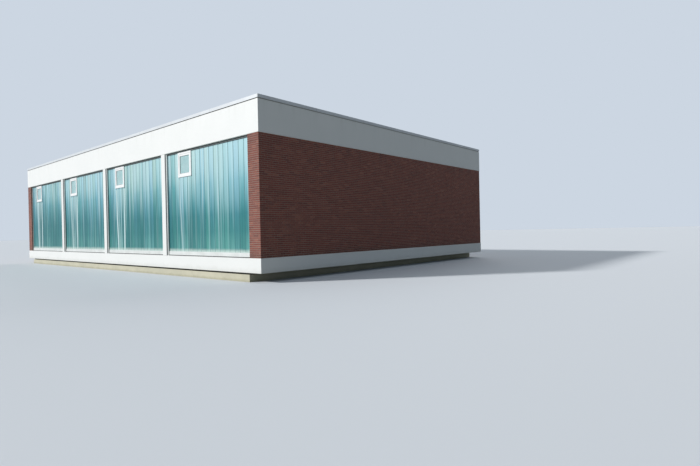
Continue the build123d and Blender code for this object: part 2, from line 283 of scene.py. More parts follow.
def splash_line_group():
    """Dirt and algae that splashing rain leaves on the lowest part of a face, with a ragged top."""
    inputs = [("Position", "Vector", None), ("Foot", "Float", 0.0), ("Reach", "Float", 0.3)]
    group, graph, entry, leave = new_group("splash line", inputs, ["Mask"])
    ragged = graph.noise(entry["Position"], 3.2, detail=5.0, roughness=0.65)
    height = graph.divide(graph.minus(graph.split(entry["Position"])["Z"], entry["Foot"]), entry["Reach"])
    edge = graph.plus(height, graph.times(ragged, -0.9))
    graph.feed(leave["Mask"], graph.fade(edge, 0.35, -0.45))
    return group


grain_group = surface_grain_group()
streak_group = rain_streaks_group()
splash_group = splash_line_group()


class Finish(Graph):
    """A material: one shader that everything else in its tree feeds."""

    def __init__(self, name, sockets):
        self.material = bpy.data.materials.new(name)
        self.material.use_nodes = True
        super().__init__(self.material.node_tree)
        self.tree.nodes.clear()
        self.shader = self.node("ShaderNodeBsdfPrincipled")
        self.node("ShaderNodeOutputMaterial", {"Surface": self.shader.outputs[0]})
        # The point of the surface, in metres in the object's own frame
        self.position = self.out("ShaderNodeTexCoord", output="Object")
        for socket, value in sockets.items():
            self.set(socket, value)

    def set(self, socket, value):
        """Feeds one socket of the shader."""
        self.feed(self.shader.inputs[socket], value)

    def bump(self, height, depth, strength):
        """Relief of the given depth in metres."""
        inputs = {"Height": height, "Distance": depth, "Strength": strength}
        self.set("Normal", self.out("ShaderNodeBump", inputs))

    def between(self, mask, first, second):
        """A colour that goes from one paint to another with a mask."""
        return self.mix(mask, paint(*first), paint(*second))

    def lay(self, base, colour, mask, share):
        """The base with a paint laid over it, as much as a share of a mask says."""
        return self.mix(self.times(mask, share), base, paint(*colour))

    def grain(self, grit_size, patch_size):
        """The outputs Grit, Patches and Height of the surface's own grain."""
        inputs = {"Position": self.position, "Grit Size": grit_size, "Patch Size": patch_size}
        return self.node("ShaderNodeGroup", inputs, node_tree=grain_group).outputs

    def streaks(self, edge_height, reach, per_metre):
        """A mask of the dirt that is washed down from an edge."""
        inputs = {
            "Position": self.position,
            "Edge Height": edge_height,
            "Reach": reach,
            "Streaks Per Metre": per_metre,
        }
        return self.out("ShaderNodeGroup", inputs, node_tree=streak_group)

    def splash(self, foot, reach):
        """A mask of the dirt that is splashed up from a foot."""
        inputs = {"Position": self.position, "Foot": foot, "Reach": reach}
        return self.out("ShaderNodeGroup", inputs, node_tree=splash_group)

    def above(self, level):
        """A mask of what is higher than a level, with a hair-soft edge."""
        height = self.split(self.position)["Z"]
        return self.fade(height, level - soft_edge, level + soft_edge)

    def counted(self, distance, pitch):
        """Which of the equal steps a distance falls in, and how far along that step it is in metres."""
        number = self.math("FLOOR", self.divide(distance, pitch))
        return number, self.math("FLOORED_MODULO", distance, pitch)

    def chance(self, number, seed):
        """A fixed random value from 0 to 1 for each whole number."""
        place = self.plus(number, seed)
        return self.out("ShaderNodeTexWhiteNoise", {"W": place}, noise_dimensions="1D")


# Finishes


def brick_face():
    """Fired red-brown face bricks, each of its own tone, some with a darker or paler fire mark."""
    finish = Finish("brick_face", {"Roughness": 0.85})
    tone = finish.out("ShaderNodeAttribute", output="Fac", attribute_name="brick_tone")
    kiln_tones = [
        (0.0, (106, 55, 48)),
        (0.2, (119, 62, 52)),
        (0.7, (133, 72, 60)),
        (0.93, (141, 80, 65)),
        (1.0, (156, 97, 81)),
    ]
    grain = finish.grain(grit_size=0.006, patch_size=0.09)
    marked = finish.lay(finish.ramp(tone, kiln_tones), (102, 58, 53), grain["Patches"], 0.3)
    sanded = finish.lay(marked, (172, 118, 98), grain["Grit"], 0.25)
    sooted = finish.lay(sanded, (70, 52, 48), finish.streaks(wall_head, reach=1.6, per_metre=2.2), 0.4)
    damp = finish.lay(sooted, (78, 62, 52), finish.splash(wall_foot, reach=0.5), 0.35)
    finish.set("Base Color", damp)
    finish.bump(grain["Height"], depth=0.0012, strength=0.8)
    return finish.material


def brick_wall():
    """Bonded brickwork for the returns and inner faces, and the mortar behind the face bricks."""
    finish = Finish("brick_wall", {"Roughness": 0.9})
    x, y, z = finish.split(finish.position)
    facing = finish.split(finish.out("ShaderNodeTexCoord", output="Normal"))
    on_end = finish.math("GREATER_THAN", finish.absolute(facing["X"]), 0.5)
    along = finish.out("ShaderNodeMix", {0: on_end, 2: x, 3: y}, data_type="FLOAT")
    up = finish.minus(z, wall_foot + brick_joint / 2)
    outermost = finish.math(
        "MAXIMUM",
        finish.minus(finish.absolute(x), wall_box[1].x - brick_joint),
        finish.minus(finish.absolute(y), wall_box[1].y - brick_joint),
    )
    behind_facing = finish.math("GREATER_THAN", outermost, 0.0)
    mortar = paint(176, 162, 152)
    bond = finish.node(
        "ShaderNodeTexBrick",
        {
            "Vector": finish.join(along, up, 0.0),
            "Color1": paint(110, 58, 50),
            "Color2": paint(141, 80, 65),
            "Mortar": mortar,
            "Scale": 1.0,
            "Mortar Size": brick_joint / 2,
            "Mortar Smooth": 0.1,
            "Brick Width": 2 * brick_half_module,
            "Row Height": course_height,
        },
        offset=0.5,
        offset_frequency=2,
    ).outputs
    grain = finish.grain(grit_size=0.003, patch_size=0.4)
    bonded = finish.mix(behind_facing, bond["Color"], mortar)
    worn = finish.lay(bonded, (122, 105, 96), grain["Patches"], 0.3)
    finish.set("Base Color", finish.lay(worn, (150, 130, 116), grain["Grit"], 0.2))
    joint_drop = finish.times(bond["Fac"], -1.0)
    finish.bump(finish.plus(joint_drop, finish.times(grain["Height"], 0.2)), depth=0.003, strength=0.8)
    return finish.material


def white_concrete(name, painted_shade_on_sides=0.0):
    """White painted concrete, a little greyed where rain runs and where it splashes, and silted on
    its level faces. The sides of the posts can be painted darker, as painted shade."""
    finish = Finish(name, {"Roughness": 0.6})
    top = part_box("coping_front")[0].z
    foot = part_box("base_band_front")[0].z
    grain = finish.grain(grit_size=0.01, patch_size=1.8)
    coat = finish.lay(paint(246, 246, 243), (240, 241, 238), grain["Patches"], 0.5)
    washed = finish.lay(coat, (186, 186, 178), finish.streaks(top, reach=0.9, per_metre=2.6), 0.16)
    splashed = finish.lay(washed, (182, 182, 166), finish.splash(foot, reach=0.3), 0.22)
    facing = finish.split(finish.out("ShaderNodeTexCoord", output="Normal"))
    # The sides of the posts are painted darker as painted shade.
    sideways = finish.fade(finish.absolute(facing["X"]), 0.8, 0.95)
    side_shaded = finish.lay(splashed, (142, 136, 134), sideways, painted_shade_on_sides)
    level = finish.fade(facing["Z"], 0.6, 0.9)
    silted = finish.lay(side_shaded, (132, 126, 116), level, 0.85)
    # The slot under the coping is painted grey as painted shade.
    slot_shade = finish.above(top - coping_slot_height)
    finish.set("Base Color", finish.mix(slot_shade, silted, paint(190, 190, 184)))
    finish.bump(grain["Height"], depth=0.0015, strength=0.5)
    return finish.material


def plinth_concrete():
    """Buff cement render on the plinth and bare concrete below the floor, stained near the ground and
    painted dark in the gap under the band as painted shade."""
    finish = Finish("plinth_concrete", {"Roughness": 0.92})
    grain = finish.grain(grit_size=0.012, patch_size=0.7)
    bed = finish.between(grain["Patches"], (216, 211, 188), (204, 200, 178))
    gritty = finish.lay(bed, (186, 182, 162), grain["Grit"], 0.3)
    stained = finish.lay(gritty, (146, 142, 106), finish.splash(0.0, reach=0.16), 0.4)
    # The gap under the band is painted dark as painted shade.
    gap_shade = finish.above(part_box("plinth_front")[1].z - plinth_gap_height)
    finish.set("Base Color", finish.lay(stained, (46, 46, 42), gap_shade, 0.95))
    finish.bump(grain["Height"], depth=0.003, strength=0.8)
    return finish.material


def lime_runs(finish, bay, along, z, fine):
    """Lime washed down from a window: narrow runs from its lower corners, thinner ones between and a
    faint veil behind them."""
    last_bay = front_bays - 1.0
    below = finish.minus(window_foot, z)
    sway = finish.times(finish.minus(finish.noise(finish.join(bay, 0.0, z), 0.9, 2.0), 0.5), 0.09)
    across = finish.plus(finish.minus(along, window_offset), sway)
    half = (window_box[1].x - window_box[0].x - last_bay * bay_pitch) / 2
    # Each run: its start from the window's middle, its drift per metre, its half width, its strength and
    # the lower one that it has in the last bay
    runs = [
        (-0.94 * half, 0.055, 0.085, 1.0, 0.5),
        (0.90 * half, -0.025, 0.11, 1.0, 0.1),
        (0.18 * half, -0.015, 0.035, 0.75, 0.1),
        (-0.45 * half, 0.03, 0.13, 0.5, 0.1),
    ]
    mask = 0.0
    for number, (first, drift, width, strength, last_strength) in enumerate(runs, 1):
        centre = finish.plus(first, finish.times(below, drift))
        line = finish.fade(finish.absolute(finish.minus(across, centre)), width, 0.35 * width)
        luck = finish.fade(finish.chance(bay, lime_seed_step * number), 0.0, 1.0, 0.7, 1.0)
        own = finish.times(luck, finish.fade(bay, last_bay - 1.0, last_bay, strength, last_strength))
        mask = finish.math("MAXIMUM", mask, finish.times(line, own))
    within = finish.fade(finish.absolute(across), half, 0.8 * half)
    veil = finish.times(finish.fade(below, 1.8, 0.1), within)
    veil = finish.times(veil, finish.fade(bay, last_bay - 1.0, last_bay, 0.38, 0.05))
    started = finish.fade(below, 0.0, 0.12)
    ragged = finish.fade(fine, 0.34, 0.54, 0.6, 1.0)
    return finish.times(finish.math("MAXIMUM", mask, veil), finish.times(started, ragged))


def plank_tint(finish, rise, plank_number):
    """The glass's own colour, pale at the head, with a violet, green or milky tint in some planks."""
    hue = finish.chance(plank_number, hue_seed)
    milkiness = finish.chance(plank_number, milkiness_seed)
    upright_tones = [
        (0.0, (106, 174, 168)),
        (0.1, (72, 148, 148)),
        (0.28, (60, 139, 145)),
        (0.72, (111, 183, 194)),
        (1.0, (186, 230, 236)),
    ]
    body = finish.ramp(rise, upright_tones)
    violet = finish.times(finish.fade(hue, 0.55, 1.0), finish.fade(rise, 0.0, 1.0, 0.1, 0.32))
    bluer = finish.mix(violet, body, paint(136, 182, 220))
    green = finish.fade(hue, 0.4, 0.0, 0.0, 0.3)
    greener = finish.mix(green, bluer, paint(84, 166, 152))
    milky = finish.times(finish.fade(milkiness, 0.45, 1.0), finish.fade(rise, 0.35, 1.0, 0.0, 0.45))
    return finish.mix(milky, greener, paint(214, 232, 216))


def plank_lift(finish, rise, along, across, tone, broad, fine):
    """How much paler than its tint the glass is, or darker where this is below zero: each plank by
    its own tone, and more towards its right side and the head. Paler towards the right of the bay and of
    the hall is painted light."""
    drift = finish.noise(finish.stretch(finish.position, (1.0, 1.0, 0.5)), 0.5, 2.0)
    crown = finish.times(finish.fade(across, 0.35, 0.85), finish.fade(across, 0.97, 0.88))
    # Paler towards the right of each bay and of the hall: painted light.
    painted_light_in_bay = finish.times(finish.fade(along, 0.5, bay_pitch), rise)
    from_left = finish.fade(finish.split(finish.position)["X"], -wall_box[1].x, 1.2 * wall_box[1].x)
    painted_light_in_hall = finish.times(finish.math("POWER", from_left, 1.6), finish.fade(rise, 0.0, 0.5, 0.5, 1.0))
    shares = [
        (finish.minus(tone, 0.5), 0.35),
        (finish.minus(broad, 0.5), 0.9),
        (finish.minus(fine, 0.5), 0.9),
        (finish.minus(drift, 0.5), 0.4),
        (painted_light_in_bay, 0.12),
        (painted_light_in_hall, 0.64),
    ]
    lift = finish.times(crown, finish.fade(tone, 0.0, 1.0, 0.05, 0.4))
    for part, share in shares:
        lift = finish.plus(lift, finish.times(part, share))
    return finish.minus(lift, finish.fade(rise, 0.4, 1.0, 0.49, 0.25))


def channel_glass():
    """Blue-green cast glass planks: each of its own tone and tint, dark at its joints, streaked with
    lime below the windows and dusty at the foot, with narrow pale streaks of painted highlight."""
    sockets = {"IOR": 1.45, "Transmission Weight": 0.1, "Specular IOR Level": 0.2}
    finish = Finish("channel_glass", sockets)
    place = finish.split(finish.position)
    bay, along = finish.counted(finish.minus(place["X"], glass_start), bay_pitch)
    plank, on_plank = finish.counted(along, plank_pitch)
    plank_number = finish.plus(plank, finish.times(bay, plank_numbers_in_bay))
    tone = finish.chance(plank_number, tone_seed)
    across = finish.divide(on_plank, plank_pitch)
    rise = finish.fade(place["Z"], glass_foot, glass_head)
    drawn_out = finish.stretch(finish.position, (1.0, 1.0, 0.035))
    broad = finish.noise(drawn_out, 2.06, detail=3.0, roughness=0.55)
    fine = finish.noise(drawn_out, 15.0, detail=3.0, roughness=0.6)

    lift = plank_lift(finish, rise, along, across, tone, broad, fine)
    paler = finish.times(lift, finish.fade(rise, 0.0, 0.7, 0.6, 1.0), clamp=True)
    darker = finish.times(lift, -1.0, clamp=True)
    deepened = finish.lay(plank_tint(finish, rise, plank_number), (26, 112, 116), darker, 1.4)
    lightened = finish.lay(deepened, (204, 240, 247), paler, 1.05)

    # Narrow pale upright streaks over the glass are painted highlight.
    glint = finish.noise(finish.stretch(finish.position, (1.0, 1.0, 0.022)), 5.5, detail=2.0)
    glint_streak = finish.times(finish.fade(glint, 0.57, 0.68), finish.fade(rise, 0.0, 0.8, 0.15, 0.6))
    glinted = finish.mix(glint_streak, lightened, paint(212, 240, 242))

    from_joint = finish.minus(0.5, finish.absolute(finish.minus(across, 0.5)))
    jointed = finish.lay(glinted, (40, 116, 120), finish.fade(from_joint, 0.1, 0.02), 0.55)
    lime = lime_runs(finish, bay, along, place["Z"], fine)
    limed = finish.lay(jointed, (226, 250, 249), lime, 0.95)

    over_rail = finish.minus(place["Z"], glass_foot + groove_depth)
    dust = finish.fade(finish.plus(over_rail, finish.times(fine, 0.1)), 0.22, 0.06)
    finish.set("Base Color", finish.lay(limed, (214, 230, 222), dust, 0.8))
    finish.set("Roughness", finish.fade(dust, 0.0, 1.0, 0.38, 0.6))
    finish.bump(finish.plus(fine, finish.times(broad, 2.0)), depth=0.002, strength=0.35)
    return finish.material


def window_glass():
    """Clear double glazing with a little dust on it."""
    finish = Finish("window_glass", {"Roughness": 0.06, "IOR": 1.5, "Transmission Weight": 0.25})
    patches = finish.grain(grit_size=0.01, patch_size=0.35)["Patches"]
    finish.set("Base Color", finish.between(patches, (184, 226, 227), (204, 236, 237)))
    finish.bump(patches, depth=0.0006, strength=0.2)
    return finish.material


def metal_rail(name, coat, dirt, dirt_from, roughness, metallic=0.0):
    """Painted or anodised section with dust in patches, and run marks below a height."""
    finish = Finish(name, {"Roughness": roughness, "Metallic": metallic})
    grain = finish.grain(grit_size=0.006, patch_size=0.5)
    dusty = finish.lay(paint(*coat), dirt, grain["Patches"], 0.3)
    runs = finish.streaks(dirt_from, reach=0.6, per_metre=9.0)
    finish.set("Base Color", finish.lay(dusty, dirt, runs, 0.4))
    finish.bump(grain["Grit"], depth=0.0002, strength=0.4)
    return finish.material


def coping_metal():
    """Weathered sheet, dulled in patches, with a soldered joint every few metres."""
    finish = Finish("coping_metal", {"Specular IOR Level": 1.0})
    sheet_length = 3.0
    joint_half_width = 0.008
    grain = finish.grain(grit_size=0.02, patch_size=0.9)
    place = finish.split(finish.position)
    in_sheet = finish.math("FLOORED_MODULO", finish.plus(place["X"], place["Y"]), sheet_length)
    from_joint = finish.absolute(finish.minus(in_sheet, sheet_length / 2))
    joint = finish.fade(from_joint, joint_half_width, joint_half_width / 4)
    sheet = finish.between(grain["Patches"], (219, 223, 226), (210, 214, 218))
    finish.set("Base Color", finish.lay(sheet, (96, 102, 108), joint, 0.6))
    finish.set("Roughness", finish.fade(grain["Patches"], 0.0, 1.0, 0.5, 0.56))
    finish.bump(finish.minus(finish.times(grain["Grit"], 0.1), joint), depth=0.0006, strength=0.5)
    return finish.material


def painted_steel(name, first, second):
    """Shop-painted steel with faint brush patches and dust."""
    finish = Finish(name, {"Roughness": 0.55})
    grain = finish.grain(grit_size=0.01, patch_size=0.8)
    finish.set("Base Color", finish.between(grain["Patches"], first, second))
    finish.bump(grain["Grit"], depth=0.0004, strength=0.4)
    return finish.material


def sports_floor():
    """Green-grey sheet flooring with scuffs."""
    finish = Finish("sports_floor", {})
    grain = finish.grain(grit_size=0.004, patch_size=1.4)
    speckled = finish.between(grain["Grit"], (116, 134, 120), (132, 146, 132))
    finish.set("Base Color", finish.lay(speckled, (150, 152, 138), grain["Patches"], 0.35))
    finish.set("Roughness", finish.fade(grain["Patches"], 0.0, 1.0, 0.35, 0.6))
    finish.bump(grain["Grit"], depth=0.0003, strength=0.4)
    return finish.material


def roof_felt():
    """Mineral-surfaced felt in sheets, each of its own tone, with water marks and dust."""
    finish = Finish("roof_felt", {"Roughness": 0.95})
    sheet_number = finish.math("FLOOR", finish.divide(finish.split(finish.position)["X"], felt_sheet_width))
    grain = finish.grain(grit_size=0.005, patch_size=1.6)
    sheet = finish.between(finish.chance(sheet_number, 0.0), (104, 107, 108), (122, 124, 122))
    mineral = finish.lay(sheet, (148, 148, 144), grain["Grit"], 0.5)
    finish.set("Base Color", finish.lay(mineral, (92, 96, 90), grain["Patches"], 0.4))
    finish.bump(grain["Height"], depth=0.002, strength=0.7)
    return finish.material


def moulded_plastic(name, fresh, worn):
    """Dark moulded or rubbery material, greyed a little by weather."""
    finish = Finish(name, {"Roughness": 0.6})
    grain = finish.grain(grit_size=0.003, patch_size=0.12)
    finish.set("Base Color", finish.between(grain["Patches"], fresh, worn))
    finish.bump(grain["Grit"], depth=0.0002, strength=0.5)
    return finish.material


finishes = {
    "brick_face": brick_face(),
    "brick_wall": brick_wall(),
    "white_concrete": white_concrete("white_concrete"),
    "post_concrete": white_concrete("post_concrete", painted_shade_on_sides=0.8),
    "plinth_concrete": plinth_concrete(),
    "channel_glass": channel_glass(),
    "window_glass": window_glass(),
    "pale_rail": metal_rail(
        "pale_rail", (238, 240, 237), (196, 197, 190), dirt_from=5.4, roughness=0.4, metallic=0.15
    ),
    # The head rails are painted dark partly as painted shade under the fascia.
    "dark_rail": metal_rail("dark_rail", (70, 80, 80), (92, 98, 96), dirt_from=5.42, roughness=0.5),
    "white_window": metal_rail(
        "white_window", (254, 254, 253), (242, 243, 240), dirt_from=5.35, roughness=0.35
    ),
    "coping_metal": coping_metal(),
    "door_lining": painted_steel("door_lining", (212, 214, 210), (196, 198, 194)),
    "girder_steel": painted_steel("girder_steel", (172, 178, 180), (158, 164, 166)),
    "deck_steel": painted_steel("deck_steel", (196, 200, 202), (184, 188, 190)),
    "sports_floor": sports_floor(),
    "roof_felt": roof_felt(),
    "outlet_plastic": moulded_plastic("outlet_plastic", (62, 63, 66), (84, 85, 86)),
    "glazing_rubber": moulded_plastic("glazing_rubber", (40, 42, 44), (66, 68, 70)),
    "joint_sealant": moulded_plastic("joint_sealant", (64, 116, 120), (92, 140, 144)),
}

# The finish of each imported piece, found by the start of the piece's name
node_finishes = {
    "end_wall": "brick_wall",
    "corner_piers": "brick_wall",
    "back_wall": "brick_wall",
    "front_posts": "post_concrete",
    "back_posts": "post_concrete",
    "base_band": "white_concrete",
    "fascia": "white_concrete",
    "plinth": "plinth_concrete",
    "floor_slab": "plinth_concrete",
    "front_glass": "channel_glass",
    "back_glass": "channel_glass",
    "window_panes": "window_glass",
    "window_frames": "white_window",
    "window_sashes": "white_window",
    "sill_rails": "pale_rail",
    "jamb_rails": "pale_rail",
    "head_rails": "dark_rail",
    "coping": "coping_metal",
    "door_frame": "door_lining",
    "roof_girders": "girder_steel",
    "roof_deck": "deck_steel",
    "roof_covering": "roof_felt",
    "roof_outlets": "outlet_plastic",
    "hall_floor": "sports_floor",
}


def dress_nodes():
    """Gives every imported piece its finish."""
    for name, node in nodes.items():
        finish = next(finish for start, finish in node_finishes.items() if name.startswith(start))
        for slot in node.material_slots:
            slot.material = finishes[finish]


# Pieces that repeat, grown by node trees


class Grower:
    """A geometry node tree with named inputs, run once for each set of sizes."""

    def __init__(self, name, sizes, counts):
        self.tree = bpy.data.node_groups.new(name, "GeometryNodeTree")
        inputs = [(label, "Float") for label in sizes] + [(label, "Int") for label in counts]
        inputs += [("Place", "Vector"), ("Turn", "Float"), ("Material", "Material")]
        interface = self.tree.interface
        self.sockets = {}
        for label, kind in inputs:
            socket = interface.new_socket(label, in_out="INPUT", socket_type=f"NodeSocket{kind}")
            self.sockets[label] = socket.identifier
        interface.new_socket("Geometry", in_out="OUTPUT", socket_type="NodeSocketGeometry")
        self.graph = Graph(self.tree)
        self.entry = self.graph.node("NodeGroupInput").outputs
        self.leave = self.graph.node("NodeGroupOutput").inputs[0]

    def put_up(self, instances):
        """Ends the tree: makes the instances real, turns and places them and gives them their material."""
        graph, entry = self.graph, self.entry
        real = graph.out("GeometryNodeRealizeInstances", {0: instances})
        turn = graph.join(0.0, 0.0, entry["Turn"])
        inputs = {"Geometry": real, "Translation": entry["Place"], "Rotation": turn}
        placed = graph.out("GeometryNodeTransform", inputs)
        painted = graph.out(
            "GeometryNodeSetMaterial", {"Geometry": placed, "Material": entry["Material"]}
        )
        graph.feed(self.leave, painted)

    def grow(self, values):
        """A plain mesh of the tree's result for these values."""
        carrier = add_to_scene("carrier", bpy.data.meshes.new("carrier"))
        modifier = carrier.modifiers.new("grow", "NODES")
        modifier.node_group = self.tree
        for label, value in values.items():
            modifier[self.sockets[label]] = value
        evaluated = carrier.evaluated_get(bpy.context.evaluated_depsgraph_get())
        mesh = bpy.data.meshes.new_from_object(evaluated)
        bpy.data.objects.remove(carrier)
        return mesh


def add_to_scene(name, data):
    """A new object in the scene."""
    made = bpy.data.objects.new(name, data)
    bpy.context.scene.collection.objects.link(made)
    return made


def laid_course(graph, entry, index):
    """Level, start and end of the brick with this index, in stretcher bond, before any cut."""
    course = graph.math("FLOOR", graph.divide(index, entry["Bricks In Course"]))
    in_course = graph.minus(index, graph.times(course, entry["Bricks In Course"]))
    level = graph.plus(course, entry["First Course"])
    shifted = graph.math("FLOORED_MODULO", level, 2.0)
    halves = graph.minus(graph.times(in_course, 2.0), shifted)
    start = graph.times(halves, entry["Half Module"])
    module = graph.times(entry["Half Module"], 2.0)
    return level, start, graph.minus(graph.plus(start, module), entry["Joint"])


def brick_plate(graph, entry, brick_height):
    """One face brick, a metre long until it is laid, open at its back and with eased arrises."""
    cube = graph.out("GeometryNodeMeshCube", {"Size": graph.join(1.0, entry["Proud"], brick_height)})
    forwards = graph.join(0.0, graph.times(entry["Proud"], -0.5), 0.0)
    seated = graph.out("GeometryNodeTransform", {"Geometry": cube, "Translation": forwards})
    facing = graph.split(graph.out("GeometryNodeInputNormal"))["Y"]
    hidden = graph.math("GREATER_THAN", facing, 0.5)
    open_back = graph.out(
        "GeometryNodeDeleteGeometry", {"Geometry": seated, "Selection": hidden}, domain="FACE"
    )
    front = graph.math("LESS_THAN", facing, -0.5)
    raised = graph.node(
        "GeometryNodeExtrudeMesh",
        {"Mesh": open_back, "Selection": front, "Offset Scale": entry["Arris"]},
        mode="FACES",
    ).outputs
    inset = graph.divide(graph.times(entry["Arris"], 2.0), brick_height)
    across = graph.divide(entry["Arris"], entry["Half Module"])
    narrowed = graph.join(graph.minus(1.0, across), 1.0, graph.minus(1.0, inset))
    eased_place = graph.stretch(graph.out("GeometryNodeInputPosition"), narrowed)
    return graph.out(
        "GeometryNodeSetPosition",
        {"Geometry": raised["Mesh"], "Selection": raised["Top"], "Position": eased_place},
    )


def seeded(graph, seed, least=0.0):
    """A random value from the least to 1 for each brick. The node's sockets share their names, so
    they are found by number."""
    inputs = {2: least, 3: 1.0, "Seed": seed}
    return graph.out("FunctionNodeRandomValue", inputs, output=1, data_type="FLOAT")


def brick_grower():
    """Stretcher-bond facing on a wall that runs along X and faces -Y, cut to its panel's ends."""
    sizes = ["Half Module", "Joint", "Course Height", "Panel From", "Panel To"]
    sizes += ["Proud", "Least Proud Share", "Arris", "Shortest"]
    grower = Grower("brick facing", sizes, ["Bricks In Course", "Courses", "First Course", "Seed"])
    graph, entry = grower.graph, grower.entry
    inputs = {0: entry["Courses"], 1: entry["Bricks In Course"]}
    whole = graph.out("FunctionNodeIntegerMath", inputs, operation="MULTIPLY")
    level, start, end = laid_course(graph, entry, graph.out("GeometryNodeInputIndex"))
    cut_start = graph.math("MAXIMUM", start, entry["Panel From"])
    cut_end = graph.math("MINIMUM", end, entry["Panel To"])
    length = graph.minus(cut_end, cut_start)
    middle = graph.times(graph.plus(cut_start, cut_end), 0.5)
    brick_height = graph.minus(entry["Course Height"], entry["Joint"])
    bed = graph.plus(graph.times(level, entry["Course Height"]), entry["Joint"])
    place = graph.join(middle, 0.0, graph.plus(bed, graph.times(brick_height, 0.5)))
    points = graph.out("GeometryNodePoints", {"Count": whole, "Position": place})
    depth = seeded(graph, entry["Seed"], entry["Least Proud Share"])
    laid = graph.out(
        "GeometryNodeInstanceOnPoints",
        {
            "Points": points,
            "Selection": graph.math("GREATER_THAN", length, entry["Shortest"]),
            "Instance": brick_plate(graph, entry, brick_height),
            "Scale": graph.join(length, depth, 1.0),
        },
    )
    tone = seeded(graph, graph.plus(entry["Seed"], 1.0))
    toned = graph.out(
        "GeometryNodeStoreNamedAttribute",
        {"Geometry": laid, "Name": "brick_tone", "Value": tone},
        data_type="FLOAT",
        domain="INSTANCE",
    )
    grower.put_up(toned)
    return grower


def strip_grower():
    """A row of upright strips, evenly spaced, with those in a given range cut short."""
    sizes = ["Pitch", "Width", "Depth", "Foot", "Head", "Short Head"]
    grower = Grower("upright strips", sizes, ["Sides", "Count", "Short From", "Short To"])
    graph, entry = grower.graph, grower.entry
    index = graph.out("GeometryNodeInputIndex")
    after = graph.math("GREATER_THAN", index, graph.minus(entry["Short From"], 0.5))
    before = graph.math("LESS_THAN", index, graph.plus(entry["Short To"], 0.5))
    short = graph.times(after, before)
    drop = graph.times(short, graph.minus(entry["Head"], entry["Short Head"]))
    head = graph.minus(entry["Head"], drop)
    length = graph.minus(head, entry["Foot"])
    middle = graph.times(graph.plus(head, entry["Foot"]), 0.5)
    place = graph.join(graph.times(index, entry["Pitch"]), 0.0, middle)
    points = graph.out("GeometryNodePoints", {"Count": entry["Count"], "Position": place})
    # A bead one metre wide and long, half of it behind the glass's face, scaled to each strip
    bead = graph.out(
        "GeometryNodeMeshCylinder",
        {"Vertices": entry["Sides"], "Radius": 0.5, "Depth": 1.0},
        output="Mesh",
        fill_type="NGON",
    )
    scale = graph.join(entry["Width"], graph.times(entry["Depth"], 2.0), length)
    laid = graph.out(
        "GeometryNodeInstanceOnPoints", {"Points": points, "Instance": bead, "Scale": scale}
    )
    grower.put_up(laid)
    return grower


def add_piece(name, meshes):
    """Joins plain meshes into one piece at the origin, riding on the building."""
    joined = bmesh.new()
    for mesh in meshes:
        joined.from_mesh(mesh)
    whole = bpy.data.meshes.new(name)
    joined.to_mesh(whole)
    joined.free()
    for material in meshes[0].materials:
        whole.materials.append(material)
    piece = add_to_scene(name, whole)
    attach(piece, "root")


brick_tree = brick_grower()
strip_tree = strip_grower()


# Brick facing


def brick_panel(corner, turn, run, ends, seed, first_course=0, courses=brick_courses):
    """Face bricks of one panel: the bond starts at the corner, fits the whole run of the wall, and is
    cut at the panel's two ends along it."""
    half_modules = round((run + brick_joint) / brick_half_module)
    return brick_tree.grow(
        {
            "Half Module": (run + brick_joint) / half_modules,
            "Joint": brick_joint,
            "Course Height": course_height,
            "Panel From": ends[0],
            "Panel To": ends[1],
            "Proud": brick_proud,
            "Least Proud Share": brick_least_proud_share,
            "Arris": brick_arris,
            "Shortest": brick_shortest,
            "Bricks In Course": half_modules // 2 + 2,
            "Courses": courses,
            "First Course": first_course,
            "Seed": seed,
            "Place": corner,
            "Turn": turn,
            "Material": finishes["brick_face"],
        }
    )


def brick_pieces():
    """Face bricks on both ends, on the four corner piers and round the back doorway."""
    low, high = wall_box
    depth = high.y - low.y
    wrap = brick_proud + brick_arris
    reach = (-wrap, depth + wrap)
    right_end = brick_panel((high.x, low.y, wall_foot), right_turn, depth, reach, seed=11)
    left_end = brick_panel((low.x, high.y, wall_foot), left_turn, depth, reach, seed=12)
    add_piece("right_end_bricks", [right_end])
    add_piece("left_end_bricks", [left_end])

    pier = glass_start - plank_end_gap - low.x
    whole = (0.0, pier)
    left_pier = brick_panel((low.x, low.y, wall_foot), front_turn, pier, whole, seed=13)
    right_pier = brick_panel((high.x - pier, low.y, wall_foot), front_turn, pier, whole, seed=14)
    add_piece("front_pier_bricks", [left_pier, right_pier])

    back_pier = brick_panel((low.x + pier, high.y, wall_foot), back_turn, pier, whole, seed=15)
    add_piece("back_pier_bricks", [back_pier])
    add_piece("back_bay_bricks", back_bay_panels())


def back_bay_panels():
    """The brick bay at the back: beside the doorway, and over it."""
    high = wall_box[1]
    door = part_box("door_frame")
    run = high.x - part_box("back_wall_left")[0].x
    door_from = high.x - door[1].x
    door_to = high.x - door[0].x
    beside = math.ceil((door[1].z - wall_foot) / course_height)
    # Each panel: its ends along the wall, its seed, its first course and how many courses it has
    panels = [
        ((0.0, door_from), 16, 0, beside),
        ((door_to, run), 17, 0, beside),
        ((0.0, run), 18, beside, brick_courses - beside),
    ]
    return [brick_panel((high.x, high.y, wall_foot), back_turn, run, *panel) for panel in panels]


# Seals and gaskets


